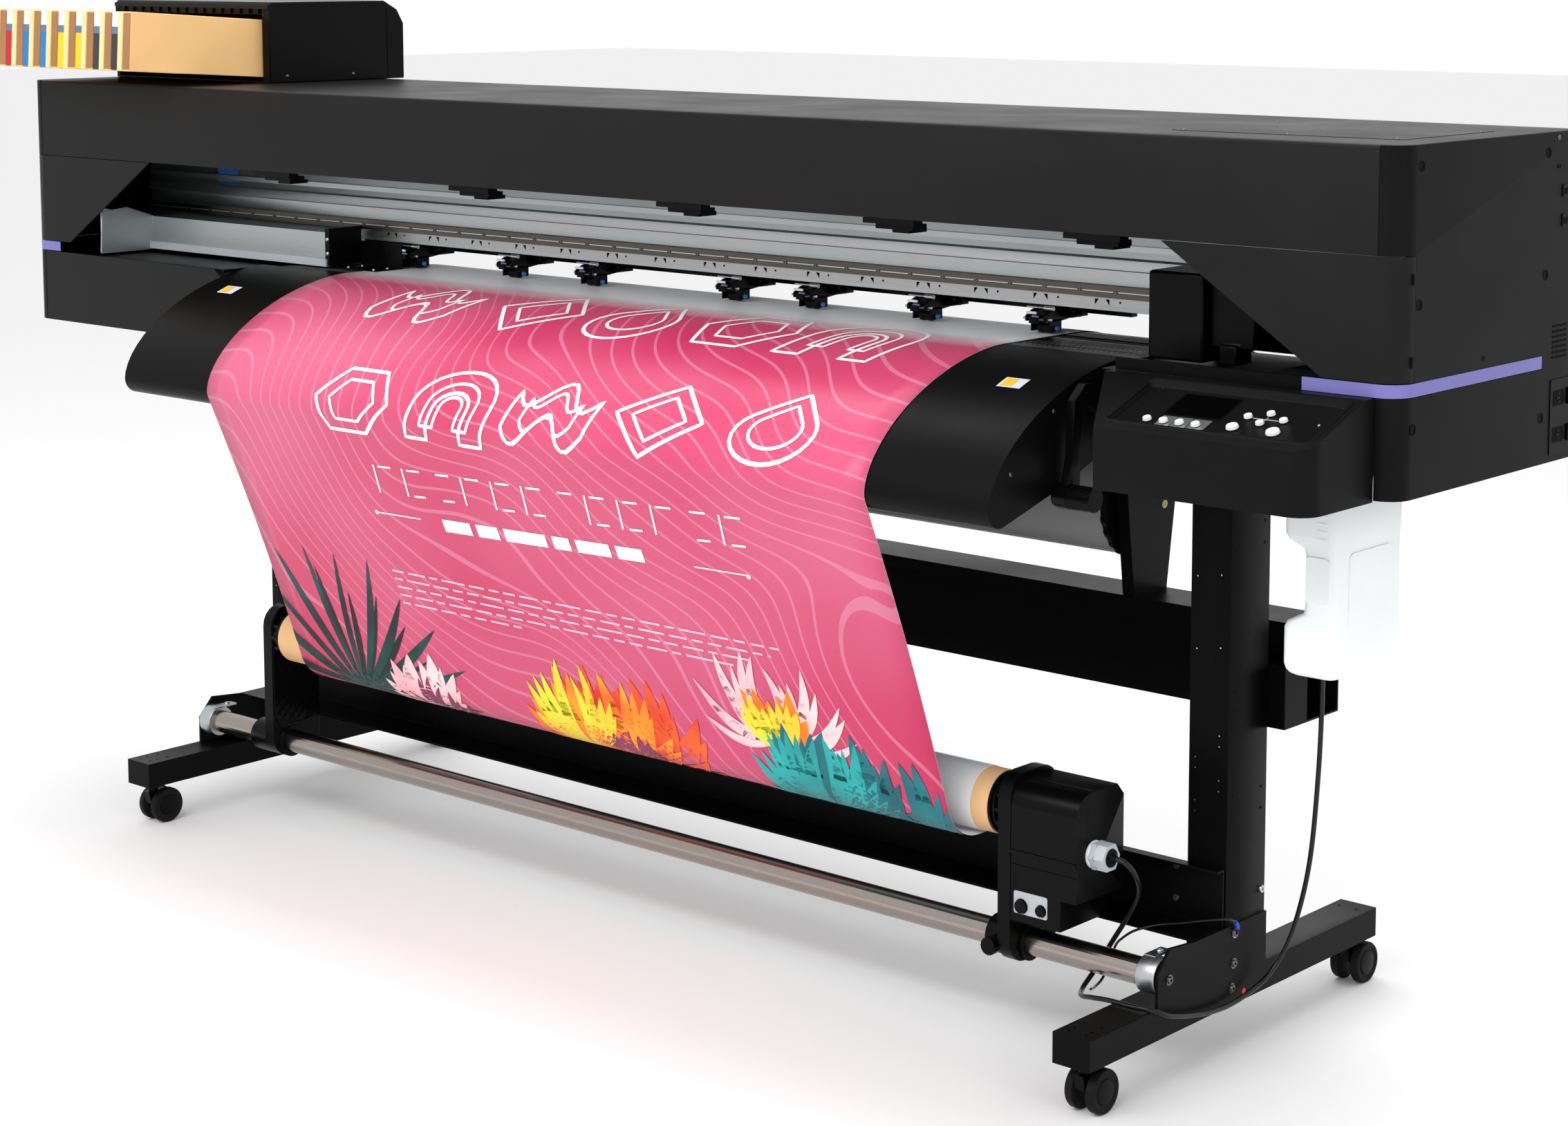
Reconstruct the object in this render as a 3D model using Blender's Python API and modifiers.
"""Wide-format printer cutter on a caster stand, as separate solids (metres, +Z up)."""
import math

import bmesh
import bpy
from mathutils import Matrix, Vector

# ---------------------------------------------------------------- driving dimensions
DATUM = Vector((0.014, 0.0355, 0.0))   # moves the measured datum to the centre of the whole box
GAP = 0.0003                           # clearance between touching parts
SHEET = 0.003                          # sheet metal and cover thickness

BODY_LEFT = -1.413
BODY_RIGHT = 1.385
BODY_FRONT = -0.2416
BODY_BACK = 0.2156
BODY_TOP = 1.267
BODY_BOTTOM = 0.838
CORNER_RADIUS = 0.033
PANEL_SPLIT = 1.134                    # lower edge of the long front panel
COVER_BOTTOM = 0.980                   # lower edge of the two maintenance covers
STRIP_BOTTOM = 0.963                   # lower edge of the accent strip
STRIP_BACK = 0.118                     # rear end of the accent strip
MIRROR_X = BODY_LEFT + BODY_RIGHT      # a point x on the right has its twin at MIRROR_X - x

DECK_TOP = 0.962
PLATEN_TOP = 0.965
PLATEN_LEFT = -0.82
PLATEN_RIGHT = 0.945
PLATEN_FRONT = -0.155
PLATEN_BACK = 0.020
FRAME_TOP = 0.930
FRAME_BOTTOM = 0.850

NIP_Y = -0.030                         # line where feed roller and pinch rollers meet
FEED_RADIUS = 0.0115
FEED_Z = 0.953
PINCH_RADIUS = 0.0075
PINCH_Z = 0.9745
PINCH_X = (-0.618, -0.375, -0.193, 0.114, 0.271, 0.490, 0.703)
PINCH_PIVOT = (0.045, 0.997)

HEATER_LEFT = -0.868
HEATER_RIGHT = 0.925
HEATER_REACH = 0.2900                  # from platen front to the nose
HEATER_DROP = 0.1645                   # from platen top to the nose
HEATER_NOSE_RADIUS = 0.025
REAR_REACH = 0.218
REAR_DROP = 0.162

BAR_FRONT = -0.045
BAR_BACK = 0.060
BAR_BOTTOM = 1.0085
BAR_TOP = 1.200
BAR_HALF = 1.330

MEDIA_LEFT = -0.6485
MEDIA_RIGHT = 0.7235
MEDIA_THICKNESS = 0.0006
MEDIA_LIFT = 0.0012                    # middle of the sheet above the surface it runs over

PANEL_SLOPE = 0.375                    # fall of the control panel per metre towards the front
PANEL_BACK = -0.262
PANEL_FRONT = -0.390
PANEL_BOTTOM = 0.836
KEY_TRAVEL_GAP = 0.0013

RACK_LEFT, RACK_RIGHT = -1.412, -0.965
RACK_FRONT, RACK_BACK = -0.055, 0.250
RACK_TOP = 1.408
CARTON_COUNT = 8
CARTON_PITCH = 0.0515
CARTON_WIDTH = 0.050
CARTON_HEIGHT = 0.100
CARTON_LENGTH = 0.360
CARTON_FRONT = -0.335
CARTON_TILT = math.radians(3.8)

LEG_IN, LEG_OUT = 0.9545, 1.0176
LEG_FRONT, LEG_BACK = -0.035, 0.061
FOOT_IN, FOOT_OUT = 0.962, 1.0216
FOOT_FRONT, FOOT_BACK = -0.3515, 0.3569
FOOT_BOTTOM, FOOT_TOP = 0.0695, 0.112
CASTER_X = 0.9925
CASTER_Y = (-0.322, 0.330)
CASTER_TRAIL = 0.016
WHEEL_RADIUS = 0.030

ROD_Y, ROD_Z, ROD_RADIUS = -0.178, 0.150, 0.019
CORE_Y, CORE_Z = -0.180, 0.338
CORE_RADIUS = 0.0445
WOUND_RADIUS = 0.0455
CORE_LEFT, CORE_RIGHT = -0.765, 0.754
UNIT_LEFT, UNIT_RIGHT = 0.775, 0.906
UNIT_FRONT, UNIT_BACK = -0.225, -0.118
HOLDER_LEFT, HOLDER_RIGHT = -0.812, -0.790

SUPPLY_Y, SUPPLY_Z = 0.160, 0.710
SUPPLY_RADIUS = 0.0835
BEAM_FRONT, BEAM_BACK = 0.115, 0.200
BEAM_BOTTOM, BEAM_TOP = 0.440, 0.575

TANK = ((1.168, 1.250), (-0.150, 0.016), (0.578, 0.835))

LEVER_PIVOT = (-0.200, 0.885)
LEVER_LEFT, LEVER_RIGHT = 0.934, 0.946

CABLE_RADIUS = 0.0035
EARTH_RADIUS = 0.0018

# ---------------------------------------------------------------- finishes: colour, roughness, metallic
CHARCOAL = ((0.020, 0.020, 0.021), 0.62, 0.0)
BLACK = ((0.010, 0.010, 0.011), 0.50, 0.0)
SATIN_BLACK = ((0.014, 0.014, 0.015), 0.35, 0.2)
ALUMINIUM = ((0.33, 0.35, 0.36), 0.40, 0.8)
STEEL = ((0.52, 0.49, 0.46), 0.28, 1.0)
RUBBER = ((0.012, 0.012, 0.013), 0.75, 0.0)
CARD = ((0.72, 0.46, 0.24), 0.80, 0.0)
PAPER = ((0.85, 0.86, 0.88), 0.45, 0.0)
PINK = ((0.80, 0.16, 0.32), 0.40, 0.0)
WHITE_KEY = ((0.80, 0.80, 0.78), 0.45, 0.0)
MILKY = ((0.82, 0.86, 0.86), 0.40, 0.0)


def clear_scene():
    """Remove every object and start the three collections."""
    for item in list(bpy.data.objects):
        bpy.data.objects.remove(item, do_unlink=True)
    made = []
    for name in ("printer_cutter", "cutters"):
        collection = bpy.data.collections.new(name)
        bpy.context.scene.collection.children.link(collection)
        made.append(collection)
    return made


PARTS, CUTTERS = clear_scene()
DATUM_EMPTY = bpy.data.objects.new("machine_datum", None)
DATUM_EMPTY.location = DATUM
bpy.context.scene.collection.objects.link(DATUM_EMPTY)


def give_material(item, finish):
    """One Principled material for one object."""
    colour, roughness, metallic = finish
    material = bpy.data.materials.new(item.name)
    material.use_nodes = True
    shader = material.node_tree.nodes["Principled BSDF"]
    shader.inputs["Base Color"].default_value = (*colour, 1.0)
    shader.inputs["Roughness"].default_value = roughness
    shader.inputs["Metallic"].default_value = metallic
    item.data.materials.clear()
    item.data.materials.append(material)


def as_part(item, finish, origin=None):
    """File a finished object as a part, with its origin on its joint axis."""
    if origin is not None:
        item.data.transform(Matrix.Translation(-Vector(origin)))
        item.location = origin
    item.parent = DATUM_EMPTY
    PARTS.objects.link(item)
    give_material(item, finish)
    return item


def as_tool(item):
    """File an object that only cuts or joins another."""
    item.parent = DATUM_EMPTY
    item.hide_render = True
    item.display_type = "WIRE"
    CUTTERS.objects.link(item)
    return item


def boolean(item, tool, operation):
    """Add an exact Boolean; tools stay in their own collection."""
    modifier = item.modifiers.new(operation.lower() + "_" + tool.name, "BOOLEAN")
    modifier.operation = operation
    modifier.solver = "EXACT"
    modifier.object = as_tool(tool)
    return item


def cut(item, *tools):
    for tool in tools:
        boolean(item, tool, "DIFFERENCE")
    return item


def join(item, *tools):
    for tool in tools:
        boolean(item, tool, "UNION")
    return item


def mesh_object(name, build):
    """New object whose mesh is filled by build(bmesh)."""
    mesh = bpy.data.meshes.new(name)
    shape = bmesh.new()
    build(shape)
    bmesh.ops.recalc_face_normals(shape, faces=shape.faces)
    shape.to_mesh(mesh)
    shape.free()
    return bpy.data.objects.new(name, mesh)


def box(name, x_range, y_range, z_range):
    """Box between three pairs of limits."""
    low = Vector((x_range[0], y_range[0], z_range[0]))
    high = Vector((x_range[1], y_range[1], z_range[1]))
    place = Matrix.Translation((low + high) / 2) @ Matrix.Diagonal((*(high - low), 1.0))
    return mesh_object(name, lambda shape: bmesh.ops.create_cube(shape, size=1.0, matrix=place))


def frame_along(axis):
    """Turn local x, y, z so that local z lies along the named axis."""
    columns = {
        "x": ((0, 1, 0), (0, 0, 1), (1, 0, 0)),
        "y": ((1, 0, 0), (0, 0, 1), (0, -1, 0)),
        "z": ((1, 0, 0), (0, 1, 0), (0, 0, 1)),
    }[axis]
    return Matrix(columns).transposed().to_4x4()


def rod(name, axis, start, length, radius, sides=32):
    """Cylinder from start along +axis ('y' runs towards +Y)."""
    direction = {"x": Vector((1, 0, 0)), "y": Vector((0, 1, 0)), "z": Vector((0, 0, 1))}[axis]
    place = Matrix.Translation(Vector(start) + direction * length / 2) @ frame_along(axis)

    def build(shape):
        bmesh.ops.create_cone(shape, cap_ends=True, segments=sides, radius1=radius,
                              radius2=radius, depth=length, matrix=place)
    return smooth(mesh_object(name, build))


def smooth(item, degrees=35):
    item.data.shade_smooth()
    item.data.set_sharp_from_angle(angle=math.radians(degrees))
    return item


def plate(name, outline, axis, start, end):
    """Flat outline with thickness from start to end along an axis.

    The outline is (y, z) for axis x, (x, z) for axis y and (x, y) for axis z.
    """
    curve = bpy.data.curves.new(name, "CURVE")
    curve.dimensions = "2D"
    curve.fill_mode = "BOTH"
    curve.extrude = abs(end - start) / 2
    spline = curve.splines.new("POLY")
    spline.points.add(len(outline) - 1)
    for point, (u, v) in zip(spline.points, outline):
        point.co = (u, v, 0.0, 1.0)
    spline.use_cyclic_u = True
    flat = bpy.data.objects.new(name + "_flat", curve)
    bpy.context.scene.collection.objects.link(flat)
    middle = (start + end) / 2
    shift = {"x": Vector((middle, 0, 0)), "y": Vector((0, middle, 0)), "z": Vector((0, 0, middle))}
    flat.matrix_world = Matrix.Translation(shift[axis]) @ frame_along(axis)
    bpy.context.view_layer.update()
    solid = weld_evaluated(flat, name)
    bpy.data.objects.remove(flat, do_unlink=True)
    return solid


def weld_evaluated(source, name):
    """Mesh copy of an evaluated curve, placed and with its caps welded."""
    depsgraph = bpy.context.evaluated_depsgraph_get()
    evaluated = source.evaluated_get(depsgraph)
    mesh = bpy.data.meshes.new_from_object(evaluated, depsgraph=depsgraph)
    mesh.transform(source.matrix_world)
    shape = bmesh.new()
    shape.from_mesh(mesh)
    bmesh.ops.remove_doubles(shape, verts=shape.verts, dist=0.00001)
    bmesh.ops.recalc_face_normals(shape, faces=shape.faces)
    shape.to_mesh(mesh)
    shape.free()
    mesh.materials.clear()
    return bpy.data.objects.new(name, mesh)


def side_points(path, distance):
    """Points beside an open path, on its left for a positive distance."""
    moved = []
    for index, point in enumerate(path):
        before = Vector(path[max(index - 1, 0)])
        here = Vector(point)
        after = Vector(path[min(index + 1, len(path) - 1)])
        first = (here - before).normalized() if index else (after - here).normalized()
        second = (after - here).normalized() if index < len(path) - 1 else first
        along = (first + second).normalized()
        across = Vector((-along.y, along.x))
        stretch = distance / max(across.dot(Vector((-first.y, first.x))), 0.3)
        moved.append(tuple(here + across * stretch))
    return moved


def strip(name, path, thickness, axis, start, end):
    """Bent sheet: an open path given a thickness on its left side, drawn along an axis."""
    return plate(name, list(path) + side_points(path, thickness)[::-1], axis, start, end)


def arc(centre, radius, first, last, steps):
    """Points on a circular arc; angles in degrees."""
    points = []
    for index in range(steps + 1):
        angle = math.radians(first + (last - first) * index / steps)
        points.append((centre[0] + radius * math.cos(angle), centre[1] + radius * math.sin(angle)))
    return points


def rounded_rectangle(u_range, v_range, radius, steps=5):
    """Closed outline with four round corners."""
    (u0, u1), (v0, v1) = u_range, v_range
    return (arc((u1 - radius, v1 - radius), radius, 0, 90, steps)
            + arc((u0 + radius, v1 - radius), radius, 90, 180, steps)
            + arc((u0 + radius, v0 + radius), radius, 180, 270, steps)
            + arc((u1 - radius, v0 + radius), radius, 270, 360, steps))


def turned(name, stations, centre, sides=48):
    """Solid of revolution about a line along X; stations are (x, radius) from left to right."""
    mesh = bpy.data.meshes.new(name)
    profile = [(stations[0][0], 0.0)] + list(stations) + [(stations[-1][0], 0.0)]
    shape = bmesh.new()
    chain = [shape.verts.new((radius, 0.0, x)) for x, radius in reversed(profile)]
    for first, second in zip(chain, chain[1:]):
        shape.edges.new((first, second))
    shape.to_mesh(mesh)
    shape.free()
    item = bpy.data.objects.new(name + "_profile", mesh)
    screw = item.modifiers.new("turn", "SCREW")
    screw.axis = "Z"
    screw.steps = sides
    screw.render_steps = sides
    screw.use_merge_vertices = True
    screw.merge_threshold = 0.00001
    bpy.context.scene.collection.objects.link(item)
    item.matrix_world = Matrix.Translation((0.0, *centre)) @ frame_along("x")
    bpy.context.view_layer.update()
    solid = weld_evaluated(item, name)
    bpy.data.objects.remove(item, do_unlink=True)
    return smooth(solid)


def mirrored(outline):
    """The same outline on the left side of the body."""
    return [(MIRROR_X - x, other) for x, other in outline]


# ---------------------------------------------------------------- curves of the media path
def quarter_sweep(reach, drop, power, steps):
    """Rounded quarter from (0, drop) to (reach, 0) on a superellipse."""
    points = []
    for index in range(steps + 1):
        angle = math.pi / 2 * index / steps
        points.append((reach * math.sin(angle) ** (2 / power), drop * math.cos(angle) ** (2 / power)))
    return points


def heater_outer(steps=16):
    """Outer line of the front heater cover, from the platen to under the nose, as (y, z)."""
    nose_z = PLATEN_TOP - HEATER_DROP
    sweep = [(PLATEN_FRONT - GAP - u, nose_z - GAP + v)
             for u, v in quarter_sweep(HEATER_REACH, HEATER_DROP, 1.7, steps)]
    nose_y = sweep[-1][0]
    centre = (nose_y + HEATER_NOSE_RADIUS, nose_z - GAP)
    return sweep + arc(centre, HEATER_NOSE_RADIUS, 180, 290, 7)[1:]


def rear_outer(steps=10):
    """Outer line of the rear paper guide, from the platen to the back, as (y, z)."""
    low = PLATEN_TOP - GAP - REAR_DROP
    return [(PLATEN_BACK + GAP + u, low + v) for u, v in quarter_sweep(REAR_REACH, REAR_DROP, 1.8, steps)]


def media_path():
    """Middle line of the sheet from the supply roll to the take-up roll, as (y, z)."""
    rear = [(y, z) for y, z in rear_outer(10)]
    rear = side_points(rear, MEDIA_LIFT)
    back_y = SUPPLY_Y + SUPPLY_RADIUS + MEDIA_LIFT
    start = [(back_y, SUPPLY_Z), (back_y, SUPPLY_Z + 0.045)]
    front = side_points(heater_outer(16)[:18], -MEDIA_LIFT)
    leave = front[-1]
    loop_radius = 0.070
    low = CORE_Z - WOUND_RADIUS - MEDIA_LIFT
    centre = (CORE_Y - 0.022, low + loop_radius)
    loop = arc(centre, loop_radius, 200, 270, 8)
    hang = [(leave[0] + (loop[0][0] - leave[0]) * t, leave[1] + (loop[0][1] - leave[1]) * t)
            for t in (0.2, 0.4, 0.6, 0.8)]
    return start + rear[::-1] + front + hang + loop + [(CORE_Y, low)]


# ---------------------------------------------------------------- covers and body
SEAM = BODY_RIGHT - CORNER_RADIUS      # where the rounded corner piece starts on the front
CORNER_Y = BODY_FRONT + CORNER_RADIUS  # where it ends on the side


def corner_wrap(start_x=SEAM):
    """Plan line of the right front corner, from the front face round to the side."""
    radius = CORNER_RADIUS - 0.001
    return ([(start_x, BODY_FRONT)]
            + arc((BODY_RIGHT - radius, BODY_FRONT + radius), radius, -90, 0, 6)
            + [(BODY_RIGHT, CORNER_Y)])


def make_covers():
    inner = SHEET + GAP
    left_in, right_in = BODY_LEFT + inner, BODY_RIGHT - inner
    front_profile = ([(BODY_FRONT, PANEL_SPLIT + GAP)]
                     + arc((BODY_FRONT + 0.004, BODY_TOP - 0.004), 0.004, 180, 90, 3)
                     + [(0.185, BODY_TOP)])
    housing = strip("top_housing", front_profile, -SHEET, "x", left_in, right_in)
    corner_front = (BODY_FRONT - 0.01, CORNER_Y + GAP)
    cut(housing,
        box("right_corner_cut", (SEAM - GAP, BODY_RIGHT), corner_front, (1.0, 1.3)),
        box("left_corner_cut", (BODY_LEFT, MIRROR_X - SEAM + GAP), corner_front, (1.0, 1.3)))
    as_part(housing, CHARCOAL)

    rear_profile = ([(0.185 + GAP, BODY_TOP)]
                    + arc((BODY_BACK - 0.004, BODY_TOP - 0.004), 0.004, 90, 0, 3)
                    + [(BODY_BACK, 0.855), (0.1835, BODY_BOTTOM)])
    rear = strip("rear_cover", rear_profile, -SHEET, "x", left_in, right_in)
    cut(rear, box("feed_opening", (PLATEN_LEFT - 0.05, PLATEN_RIGHT + 0.05), (0.10, 0.30), (0.80, 1.000)))
    as_part(rear, CHARCOAL)

    cap = corner_wrap() + [(SEAM, CORNER_Y)]
    for side, flip in (("right", False), ("left", True)):
        turn = mirrored if flip else list
        across = sorted((turn([(BODY_RIGHT + 0.01, 0)])[0][0], turn([(SEAM - 0.02, 0)])[0][0]))
        slot = sorted((turn([(BODY_RIGHT + 0.01, 0)])[0][0], turn([(BODY_RIGHT - 0.01, 0)])[0][0]))
        path = turn(corner_wrap() + [(BODY_RIGHT, BODY_BACK)])
        thickness = -SHEET if flip else SHEET
        cover = strip(side + "_side_cover", path, thickness, "z", BODY_BOTTOM, BODY_TOP)
        join(cover, plate(side + "_corner_cap", turn(cap), "z", BODY_TOP - SHEET, BODY_TOP))
        cut(cover,
            box(side + "_cover_opening", across, (BODY_FRONT - 0.01, CORNER_Y + GAP),
                (STRIP_BOTTOM, PANEL_SPLIT + GAP)),
            box(side + "_strip_slot", slot, (CORNER_Y - 0.01, STRIP_BACK), (STRIP_BOTTOM, COVER_BOTTOM)))
        as_part(cover, CHARCOAL)


def make_maintenance_covers():
    """Two triangular front covers that swing about upright pins at the outer corners."""
    wrap = corner_wrap(1.020)
    slant = ((1.029, 1.140), (1.276, 0.9815), (1.276, 0.970), (1.000, 0.970), (1.000, 1.140))
    for side, flip in (("right", False), ("left", True)):
        turn = mirrored if flip else list
        thickness = -SHEET if flip else SHEET
        cover = strip(side + "_maintenance_cover", turn(wrap), thickness, "z", COVER_BOTTOM + 0.001,
                      PANEL_SPLIT - 0.0005)
        cut(cover, plate(side + "_slant", turn(slant), "y", BODY_FRONT - 0.01, BODY_FRONT + 0.02))
        hinge_x = turn([(BODY_RIGHT, 0)])[0][0]
        as_part(cover, CHARCOAL, (hinge_x, CORNER_Y, COVER_BOTTOM))


def make_lower_left_cover():
    left, right = MIRROR_X - SEAM + GAP, HEATER_LEFT - 0.0015
    outline = [(left, BODY_BOTTOM), (left, DECK_TOP), (right - 0.024, DECK_TOP), (right, 0.946),
               (right, BODY_BOTTOM)]
    as_part(plate("lower_left_cover", outline, "y", BODY_FRONT, BODY_FRONT + SHEET), CHARCOAL)


def make_base_frame():
    """Chassis beam with the deck plates, the accent strips and the rear paper guide."""
    left, right = BODY_LEFT + 0.0045, BODY_RIGHT - 0.0045
    frame = box("base_frame", (left, right), (-0.150, 0.120), (FRAME_BOTTOM, FRAME_TOP))
    cut(frame, box("frame_bore", (left - 0.01, right + 0.01), (-0.146, 0.116),
                   (FRAME_BOTTOM + 0.004, FRAME_TOP - 0.004)))
    rim = corner_wrap() + [(BODY_RIGHT, STRIP_BACK - GAP)]
    inner_rim = side_points(rim[:-1] + [(BODY_RIGHT, STRIP_BACK - 0.002)], 0.0036)
    for side, flip, inner, front_end in (("right", False, PLATEN_RIGHT + SHEET, PLATEN_RIGHT + SHEET),
                                         ("left", True, PLATEN_LEFT - SHEET, HEATER_LEFT - SHEET)):
        turn = mirrored if flip else list
        outer = left if flip else right
        seam = turn([(SEAM, 0)])[0][0]
        sign = -1 if flip else 1
        rim_start = -1.334 if flip else 0.972
        band = turn([(MIRROR_X - rim_start if flip else rim_start, BODY_FRONT)] + rim[1:])
        wall = turn([(SEAM - 0.02, BODY_FRONT + 0.0036)] + inner_rim[1:])
        join(frame,
             box(side + "_deck_web", sorted((outer - sign * 0.0003, inner)), (-0.149, PLATEN_BACK),
                 (FRAME_TOP - 0.002, DECK_TOP - 0.0003)),
             box(side + "_deck_plate", sorted((seam - sign * 0.0007, front_end)), (BODY_FRONT + 0.0043, -0.100),
                 (0.956, DECK_TOP)),
             box(side + "_deck_corner", sorted((seam - sign * 0.002, outer - sign * 0.0006)), (CORNER_Y, -0.147),
                 (0.9565, DECK_TOP - 0.0005)),
             strip(side + "_strip_wall", wall, sign * 0.0022, "z", 0.957, 0.970),
             strip(side + "_strip_band", band, sign * 0.0062, "z", STRIP_BOTTOM + GAP, COVER_BOTTOM - 0.0005))
    join(frame, box("guide_rib", (PLATEN_LEFT, PLATEN_RIGHT), (0.060, 0.090), (FRAME_TOP - 0.002, 0.952)))
    join(frame, strip("rear_guide", rear_outer(), -0.003, "x", PLATEN_LEFT - 0.02, PLATEN_RIGHT + 0.02))
    as_part(frame, BLACK)

    platen = box("platen", (PLATEN_LEFT, PLATEN_RIGHT), (PLATEN_FRONT, PLATEN_BACK),
                 (FRAME_TOP + GAP, PLATEN_TOP))
    cut(platen, box("feed_slot", (PLATEN_LEFT - 0.01, PLATEN_RIGHT + 0.01),
                    (NIP_Y - 0.013, NIP_Y + 0.013), (0.9395, PLATEN_TOP + 0.01)))
    as_part(platen, SATIN_BLACK)
    stations = [(PLATEN_LEFT + 0.004, FEED_RADIUS), (PLATEN_RIGHT - 0.004, FEED_RADIUS)]
    as_part(turned("feed_roller", stations, (NIP_Y, FEED_Z), 32), STEEL, (0, NIP_Y, FEED_Z))


def make_heater():
    """Curved front heater cover with an end cap at each side."""
    outer = heater_outer()
    closing = [(-0.300, 0.8082), (PLATEN_FRONT - GAP, 0.8600)]
    heater = plate("front_heater", outer + closing, "x", HEATER_LEFT, HEATER_RIGHT)
    inner = side_points(outer, 0.002)
    inner[0] = (PLATEN_FRONT + 0.010, inner[0][1])
    inside = inner + [(-0.330, 0.700), (PLATEN_FRONT + 0.010, 0.700)]
    cut(heater, plate("heater_hollow", inside, "x", HEATER_LEFT + 0.002, HEATER_RIGHT - 0.002))
    as_part(heater, SATIN_BLACK)


def make_y_bar():
    """Hollow cross beam with its guide rail, and the sheet-metal station cover at the left."""
    outline = [(BAR_FRONT, BAR_BOTTOM), (BAR_BACK, BAR_BOTTOM), (BAR_BACK, BAR_TOP), (BAR_FRONT, BAR_TOP),
               (BAR_FRONT, 1.0825), (BAR_FRONT - 0.005, 1.0800), (BAR_FRONT - 0.005, 1.0658),
               (BAR_FRONT, 1.0640), (BAR_FRONT, 1.0442), (BAR_FRONT - 0.0125, 1.0442),
               (BAR_FRONT - 0.0125, 1.0276), (BAR_FRONT, 1.0276)]
    bar = plate("y_bar", outline, "x", -BAR_HALF, BAR_HALF)
    cut(bar, box("bar_bore", (-BAR_HALF - 0.01, BAR_HALF + 0.01), (BAR_FRONT + 0.004, BAR_BACK - 0.004),
                 (BAR_BOTTOM + 0.004, BAR_TOP - 0.004)))
    join(bar, box("station_cover", (-1.220, -0.735), (-0.125, BAR_FRONT + 0.002), (0.968, 1.0255)))
    wing = [(-0.126, 0.968), (-0.120, 1.0250), (-0.180, 1.0450), (-0.232, 1.0400), (-0.236, 0.968)]
    join(bar, plate("station_wing", wing, "x", -1.222, -1.2195))
    as_part(bar, ALUMINIUM)


def make_carriages():
    head = box("print_carriage", (0.968, 1.054), (-0.165, -0.0625), (0.9695, 1.085))
    as_part(head, CHARCOAL, (0.968, -0.0625, 1.036))
    knife = box("cutter_unit", (1.056, 1.122), (-0.150, -0.0625), (0.990, 1.080))
    join(knife, box("cutter_foot", (1.074, 1.100), (-0.158, -0.120), (0.9695, 0.995)))
    as_part(knife, BLACK, (1.056, -0.0625, 1.036))


def make_pinch():
    """Lift bar with seven arms, and the pinch rollers on their common line."""
    pivot_y, pivot_z = PINCH_PIVOT
    bar = box("pinch_lift_bar", (PINCH_X[0] - 0.03, 0.800), (pivot_y - 0.007, pivot_y + 0.007),
              (pivot_z - 0.007, pivot_z + 0.006))
    arm = [(-0.0410, 0.9832), (-0.0410, 0.9965), (-0.0100, 1.0032), (0.0500, 1.0032),
           (0.0500, 0.9910), (-0.0150, 0.9840)]
    for number, x in enumerate(PINCH_X, 1):
        join(bar, plate("pinch_arm_%d" % number, arm, "x", x - 0.014, x + 0.014))
    as_part(bar, BLACK, (0, pivot_y, pivot_z))

    stations = [(PINCH_X[0] - 0.020, 0.0015)]
    for x in PINCH_X:
        stations += [(x - 0.011, 0.0015), (x - 0.011, PINCH_RADIUS), (x + 0.011, PINCH_RADIUS), (x + 0.011, 0.0015)]
    stations.append((PINCH_X[-1] + 0.020, 0.0015))
    as_part(turned("pinch_rollers", stations, (NIP_Y, PINCH_Z), 16), RUBBER, (0, NIP_Y, PINCH_Z))


def make_lever():
    """Clamp lever with a ribbed cross handle."""
    outline = arc((LEVER_PIVOT[0], LEVER_PIVOT[1]), 0.014, -60, 60, 5) + [
        (-0.258, 0.944), (-0.270, 0.944), (-0.293, 0.925), (-0.297, 0.852), (-0.308, 0.812),
        (-0.306, 0.790), (-0.290, 0.788), (-0.281, 0.812), (-0.277, 0.905), (-0.262, 0.916)]
    lever = plate("clamp_lever", outline, "x", LEVER_LEFT, LEVER_RIGHT)
    join(lever, rod("lever_handle", "x", (0.927, -0.300, 0.802), 0.058, 0.016, 24))
    as_part(lever, BLACK, (LEVER_LEFT, *LEVER_PIVOT))


# ---------------------------------------------------------------- control panel
def panel_z(y, depth=0.0):
    """Height of the sloping panel face at a given y, lowered by depth."""
    return STRIP_BOTTOM + PANEL_SLOPE * (y - PANEL_BACK) - depth


def make_control_panel():
    plan = ([(0.970, PANEL_BACK), (1.045, PANEL_FRONT)]
            + arc((1.322, PANEL_FRONT + 0.030), 0.030, -90, 0, 5)
            + [(1.352, BODY_FRONT - GAP), (0.970, BODY_FRONT - GAP)])
    panel = plate("control_panel", plan, "z", PANEL_BOTTOM, 0.975)
    wedge = [(PANEL_FRONT - 0.02, panel_z(PANEL_FRONT - 0.02)), (PANEL_BACK, STRIP_BOTTOM),
             (BODY_FRONT + 0.02, STRIP_BOTTOM), (BODY_FRONT + 0.02, 1.0), (PANEL_FRONT - 0.02, 1.0)]
    cut(panel, plate("panel_slope", wedge, "x", 0.9, 1.4))
    recess = [(-0.3685, panel_z(-0.3685, 0.006)), (-0.2690, panel_z(-0.2690, 0.006)),
              (-0.2690, 1.0), (-0.3685, 1.0)]
    cut(panel, plate("panel_recess", recess, "x", 1.050, 1.337))
    shell = [(-0.384, PANEL_BOTTOM - 0.01), (-0.384, 0.900), (-0.255, 0.945), (-0.255, PANEL_BOTTOM - 0.01)]
    cut(panel, plate("panel_hollow", shell, "x", 1.052, 1.330))
    as_part(panel, CHARCOAL)


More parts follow.
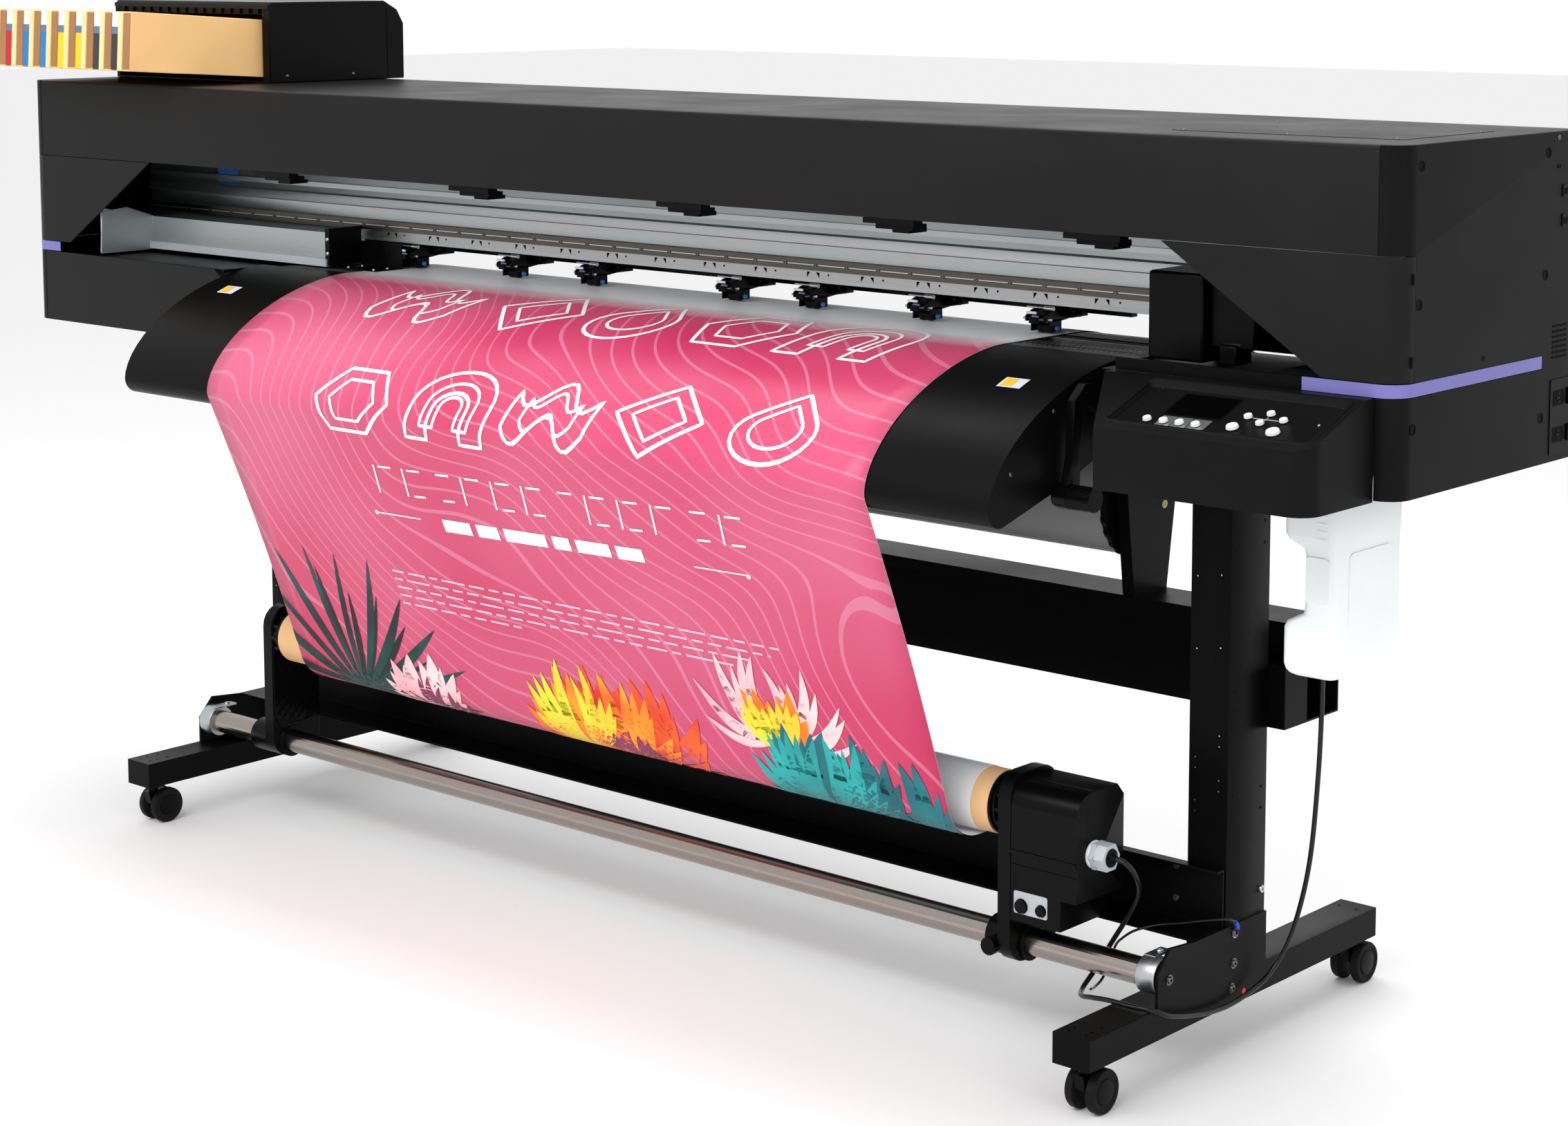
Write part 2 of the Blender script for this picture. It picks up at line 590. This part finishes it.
KEYS = (("menu_key", 1.0982, -0.3508, 0.0058), ("function_key_1", 1.1222, -0.3508, 0.0060),
        ("function_key_2", 1.1457, -0.3508, 0.0060), ("function_key_3", 1.1692, -0.3508, 0.0060),
        ("end_power_key", 1.2191, -0.3462, 0.0082), ("left_key", 1.2243, -0.3194, 0.0056),
        ("up_key", 1.2496, -0.3081, 0.0056), ("right_key", 1.2744, -0.3196, 0.0056),
        ("down_key", 1.2481, -0.3311, 0.0056), ("enter_key", 1.2766, -0.3468, 0.0092))


def make_keys():
    """Domed keys that stand on the sloping face and move square to it."""
    tilt = Matrix.Rotation(math.atan(PANEL_SLOPE), 4, "X")
    normal = tilt @ Vector((0, 0, 1))
    for name, x, y, radius in KEYS:
        seat = Vector((x, y, panel_z(y, 0.006))) + normal * KEY_TRAVEL_GAP
        place = Matrix.Translation(seat + normal * 0.0016) @ tilt

        def build(shape, place=place, radius=radius):
            bmesh.ops.create_cone(shape, cap_ends=True, segments=24, radius1=radius,
                                  radius2=radius * 0.88, depth=0.0032, matrix=place)
        as_part(smooth(mesh_object(name, build)), WHITE_KEY, seat)


# ---------------------------------------------------------------- ink rack and cartons
def make_ink():
    outline = [(RACK_FRONT, BODY_TOP + GAP), (RACK_FRONT, RACK_TOP - 0.006), (RACK_FRONT + 0.006, RACK_TOP),
               (0.205, RACK_TOP), (0.235, 1.392), (RACK_BACK, 1.367), (RACK_BACK, BODY_TOP + GAP)]
    rack = plate("ink_rack", outline, "x", RACK_LEFT, RACK_RIGHT)
    mouth = [(RACK_FRONT - 0.01, 1.2705), (RACK_FRONT - 0.01, 1.3865), (0.060, 1.3865), (0.060, 1.2705)]
    cut(rack, plate("rack_mouth", mouth, "x", RACK_LEFT + 0.0100, RACK_RIGHT - 0.0210))
    as_part(rack, CHARCOAL)

    lean = Matrix.Rotation(-CARTON_TILT, 4, "X")
    for number in range(CARTON_COUNT):
        left = -1.3990 + CARTON_PITCH * number
        carton = box("ink_carton_%d" % (number + 1), (left, left + CARTON_WIDTH),
                     (0.0, CARTON_LENGTH), (0.0, CARTON_HEIGHT))
        centre = Vector((left + CARTON_WIDTH / 2, CARTON_FRONT, 1.2960))
        carton.data.transform(Matrix.Translation(Vector((0, CARTON_FRONT, 1.2960))) @ lean)
        as_part(carton, CARD, centre)


# ---------------------------------------------------------------- stand
def make_stand():
    for side, sign in (("right", 1), ("left", -1)):
        def span(first, last, sign=sign):
            return tuple(sorted((sign * first, sign * last)))
        leg = box(side + "_leg", span(LEG_IN, LEG_OUT), (LEG_FRONT, LEG_BACK),
                  (FOOT_TOP - 0.010, FRAME_BOTTOM - GAP))
        cut(leg, box(side + "_leg_bore", span(LEG_IN + SHEET, LEG_OUT - SHEET),
                     (LEG_FRONT + SHEET, LEG_BACK - SHEET), (FOOT_TOP + 0.003, FRAME_BOTTOM + 0.01)))
        foot = box(side + "_foot", span(FOOT_IN, FOOT_OUT), (FOOT_FRONT, FOOT_BACK), (FOOT_BOTTOM, FOOT_TOP))
        wing = [(-0.200, FOOT_TOP - 0.008), (-0.200, 0.156), (-0.172, 0.188), (-0.110, 0.182),
                (LEG_BACK, 0.182), (LEG_BACK, FOOT_TOP - 0.008)]
        ends = span(LEG_OUT - 0.001, FOOT_OUT)
        join(leg, foot, plate(side + "_side_plate", wing, "x", *ends))
        as_part(leg, BLACK)

    lower = [(-0.111, 0.1830), (-0.111, 0.1795), (LEG_FRONT - SHEET - GAP, 0.1795),
             (LEG_FRONT - SHEET - GAP, 0.2625), (-0.055, 0.2625)]
    lower_half = LEG_OUT - 0.001 - GAP
    as_part(strip("lower_beam", lower, SHEET, "x", -lower_half, lower_half), BLACK)


def make_upper_beam():
    """Rear beam on two arms, with the two supply roll holders."""
    half = 1.045
    beam = box("upper_beam", (-half, half), (BEAM_FRONT, BEAM_BACK), (BEAM_BOTTOM, BEAM_TOP))
    cut(beam, box("beam_bore", (-half - 0.01, half + 0.01), (BEAM_FRONT + SHEET, BEAM_BACK - SHEET),
                  (BEAM_BOTTOM + SHEET, BEAM_TOP - SHEET)))
    for side, sign in (("right", 1), ("left", -1)):
        x_range = tuple(sorted((sign * LEG_IN, sign * half)))
        join(beam, box(side + "_arm", x_range, (LEG_BACK + GAP, BEAM_FRONT + 0.001), (BEAM_BOTTOM, 0.525)))
    outline = ([(0.095, BEAM_TOP - 0.002)] + arc((0.127, 0.750), 0.032, 180, 90, 4)
               + arc((0.193, 0.750), 0.032, 90, 0, 4) + [(0.225, BEAM_TOP - 0.002)])
    outline = [(min(y, BEAM_BACK - 0.002) if z < BEAM_TOP else y, z) for y, z in outline]
    outline = [(max(y, BEAM_FRONT + 0.002) if z < BEAM_TOP else y, z) for y, z in outline]
    for side, start in (("right", 0.7350), ("left", -0.6800)):
        join(beam, plate(side + "_supply_holder", outline, "x", start, start + 0.020))
    as_part(beam, BLACK)

    stations = [(-0.6597, 0.035), (-0.6560, 0.035), (-0.6560, 0.0875), (MEDIA_LEFT, 0.0875),
                (MEDIA_LEFT, SUPPLY_RADIUS), (MEDIA_RIGHT, SUPPLY_RADIUS), (MEDIA_RIGHT, 0.0875),
                (0.7310, 0.0875), (0.7310, 0.035), (0.7347, 0.035)]
    as_part(turned("supply_roll", stations, (SUPPLY_Y, SUPPLY_Z), 56), PAPER, (0, SUPPLY_Y, SUPPLY_Z))


def make_casters():
    for side, sign in (("right", 1), ("left", -1)):
        for place, y in (("front", CASTER_Y[0]), ("rear", CASTER_Y[1])):
            name = place + "_" + side
            x = sign * CASTER_X
            fork = rod("caster_fork_" + name, "z", (x, y, 0.050), FOOT_BOTTOM - GAP - 0.050, 0.0078, 20)
            hood = [(y - 0.014, 0.055)] + arc((y + CASTER_TRAIL, 0.030), 0.027, 100, 20, 5) + [
                (y + CASTER_TRAIL + 0.010, 0.0345), (y - 0.010, 0.0345)]
            join(fork, plate("hood_" + name, hood, "x", x - 0.0075, x + 0.0075))
            as_part(fork, BLACK, (x, y, FOOT_BOTTOM))
            half = WHEEL_RADIUS - 0.006
            stations = [(x - half, 0.018), (x - half, 0.026), (x - half + 0.004, WHEEL_RADIUS),
                        (x - 0.012, WHEEL_RADIUS), (x - 0.0085, 0.027), (x - 0.0085, 0.0035),
                        (x + 0.0085, 0.0035), (x + 0.0085, 0.027), (x + 0.012, WHEEL_RADIUS),
                        (x + half - 0.004, WHEEL_RADIUS), (x + half, 0.026), (x + half, 0.018)]
            axle = (y + CASTER_TRAIL, WHEEL_RADIUS)
            as_part(turned("caster_wheels_" + name, stations, axle, 32), RUBBER, (x, *axle))


# ---------------------------------------------------------------- take-up
def make_takeup():
    clamp = ROD_RADIUS + 0.006
    end = LEG_OUT - 0.001 - GAP
    stations = [(-end, clamp), (-0.987, clamp), (-0.987, ROD_RADIUS), (0.987, ROD_RADIUS), (0.987, clamp), (end, clamp)]
    as_part(turned("takeup_rod", stations, (ROD_Y, ROD_Z), 32), STEEL)

    hub = 0.036
    stations = [(HOLDER_RIGHT + GAP, hub), (CORE_LEFT, hub), (CORE_LEFT, CORE_RADIUS), (MEDIA_LEFT, CORE_RADIUS),
                (MEDIA_LEFT, WOUND_RADIUS), (MEDIA_RIGHT, WOUND_RADIUS), (MEDIA_RIGHT, CORE_RADIUS),
                (CORE_RIGHT, CORE_RADIUS), (CORE_RIGHT, hub), (UNIT_LEFT - GAP, hub)]
    as_part(turned("takeup_roll", stations, (CORE_Y, CORE_Z), 48), CARD, (0, CORE_Y, CORE_Z))

    bore = ROD_RADIUS + 0.0004
    outline = rounded_rectangle((-0.218, UNIT_BACK), (0.126, 0.388), 0.034)
    holder = plate("left_takeup_holder", outline, "x", HOLDER_LEFT, HOLDER_RIGHT)
    join(holder, rod("left_collar", "x", (-0.870, ROD_Y, ROD_Z), 0.083, 0.027, 28))
    cut(holder, rod("left_bore", "x", (-0.880, ROD_Y, ROD_Z), 0.110, bore, 32))
    as_part(holder, BLACK, (HOLDER_LEFT, ROD_Y, ROD_Z))

    outline = rounded_rectangle((UNIT_FRONT - 0.001, UNIT_BACK), (0.126, 0.391), 0.034)
    unit = plate("takeup_motor_unit", outline, "x", UNIT_LEFT, UNIT_LEFT + 0.021)
    profile = [(UNIT_FRONT, 0.192), (UNIT_FRONT, 0.352)] + arc((UNIT_FRONT + 0.030, 0.352), 0.030, 180, 90, 4) + [
        (UNIT_BACK - 0.015, 0.382), (UNIT_BACK, 0.365), (UNIT_BACK, 0.192)]
    casing = plate("unit_casing", profile, "x", UNIT_LEFT + 0.020, UNIT_RIGHT)
    join(unit, casing, rod("unit_collar", "x", (0.737, ROD_Y, ROD_Z), 0.062, 0.027, 28))
    cut(unit, rod("unit_bore", "x", (0.730, ROD_Y, ROD_Z), 0.090, bore, 32),
        box("casing_step", (0.880, 0.920), (UNIT_FRONT - 0.01, UNIT_BACK + 0.01), (0.180, 0.235)))
    join(unit, rod("cable_gland", "x", (UNIT_RIGHT - 0.001, -0.187, 0.297), 0.030, 0.017, 24))
    join(unit, rod("lock_knob", "y", (0.762, -0.231, 0.148), 0.030, 0.012, 20))
    cut(unit, rod("unit_rebore", "x", (0.730, ROD_Y, ROD_Z), 0.090, bore, 32))
    for name, x, radius in (("direction", 0.8155, 0.0092), ("power", 0.8485, 0.0072)):
        cut(unit, rod(name + "_pocket", "y", (x, UNIT_FRONT - 0.002, 0.215), 0.008, radius + 0.0006, 24))
        switch = rod("takeup_%s_switch" % name, "y", (x, UNIT_FRONT - 0.005, 0.215), 0.0085, radius, 24)
        as_part(switch, BLACK, (x, UNIT_FRONT, 0.215))
    as_part(unit, BLACK)


def make_tank():
    (x0, x1), (y0, y1), (z0, z1) = TANK
    plan = rounded_rectangle((x0, x1), (y0, y1), 0.014, 3)
    tank = plate("waste_ink_tank", plan, "z", z0, z1)
    cut(tank, box("hand_notch", (x0 - 0.01, x0 + 0.026), (y0 - 0.01, y1 + 0.01), (0.655, 0.750)))
    as_part(tank, MILKY)


def make_media():
    thickness = MEDIA_THICKNESS
    path = side_points(media_path(), -thickness / 2)
    as_part(strip("printed_media", path, thickness, "x", MEDIA_LEFT + GAP, MEDIA_RIGHT - GAP), PINK)


# ---------------------------------------------------------------- cords
SIGNAL_ROUTE = (
    (0.9355, -0.187, 0.297), (0.955, -0.187, 0.296), (0.966, -0.176, 0.278), (0.955, -0.150, 0.245),
    (0.928, -0.134, 0.205), (0.900, -0.134, 0.160), (0.884, -0.150, 0.122), (0.884, -0.178, 0.104),
    (0.902, -0.205, 0.105), (0.930, -0.220, 0.113), (0.962, -0.223, 0.1170), (0.995, -0.223, 0.1170),
    (1.019, -0.219, 0.1174), (1.0285, -0.208, 0.1128), (1.033, -0.190, 0.104), (1.0335, -0.150, 0.093), (1.033, -0.100, 0.083),
    (1.033, -0.050, 0.079), (1.034, 0.000, 0.084), (1.040, 0.040, 0.100), (1.052, 0.062, 0.135),
    (1.068, 0.070, 0.190), (1.084, 0.071, 0.270), (1.094, 0.070, 0.380), (1.099, 0.068, 0.480),
    (1.103, 0.062, 0.600), (1.105, 0.056, 0.700), (1.106, 0.052, 0.790), (1.106, 0.050, 0.8495))
EARTH_ROUTE = (
    (1.0260, -0.018, 0.170), (1.0260, -0.018, 0.178), (1.0275, -0.026, 0.188), (1.0260, -0.046, 0.197),
    (1.006, -0.066, 0.196), (0.980, -0.088, 0.192), (0.956, -0.106, 0.189), (0.930, -0.121, 0.180),
    (0.908, -0.121, 0.164), (0.895, -0.118, 0.150), (0.893, -0.128, 0.128), (0.896, -0.150, 0.112),
    (0.902, -0.175, 0.109), (0.913, -0.200, 0.1150))


def smooth_route(route, count):
    """Points at even spacing on a Catmull-Rom curve through the route's own points."""
    points = [Vector(p) for p in route]
    padded = [points[0] * 2 - points[1]] + points + [points[-1] * 2 - points[-2]]
    dense = []
    for a, b, c, d in zip(padded, padded[1:], padded[2:], padded[3:]):
        for step in range(12):
            t = step / 12
            dense.append(0.5 * (2 * b + (c - a) * t + (2 * a - 5 * b + 4 * c - d) * t * t
                                + (3 * b - a - 3 * c + d) * t ** 3))
    dense.append(points[-1])
    travelled = [0.0]
    for first, second in zip(dense, dense[1:]):
        travelled.append(travelled[-1] + (second - first).length)
    even = []
    index = 0
    for number in range(count):
        target = travelled[-1] * number / (count - 1)
        while index < len(dense) - 2 and travelled[index + 1] < target:
            index += 1
        span = travelled[index + 1] - travelled[index]
        even.append(dense[index].lerp(dense[index + 1], (target - travelled[index]) / span))
    return even


def cord(name, route, radius, count):
    curve = bpy.data.curves.new(name, "CURVE")
    curve.dimensions = "3D"
    curve.bevel_depth = radius
    curve.bevel_resolution = 2
    curve.use_fill_caps = True
    spline = curve.splines.new("POLY")
    spline.points.add(count - 1)
    for point, place in zip(spline.points, smooth_route(route, count)):
        point.co = (*place, 1.0)
    tube = bpy.data.objects.new(name + "_tube", curve)
    bpy.context.scene.collection.objects.link(tube)
    bpy.context.view_layer.update()
    solid = weld_evaluated(tube, name)
    bpy.data.objects.remove(tube, do_unlink=True)
    as_part(smooth(solid, 60), RUBBER)


make_covers()
make_maintenance_covers()
make_lower_left_cover()
make_base_frame()
make_heater()
make_y_bar()
make_carriages()
make_pinch()
make_lever()
make_control_panel()
make_keys()
make_ink()
make_stand()
make_upper_beam()
make_casters()
make_takeup()
make_tank()
make_media()
cord("takeup_cable", SIGNAL_ROUTE, CABLE_RADIUS, 76)
cord("earth_wire", EARTH_ROUTE, EARTH_RADIUS, 40)
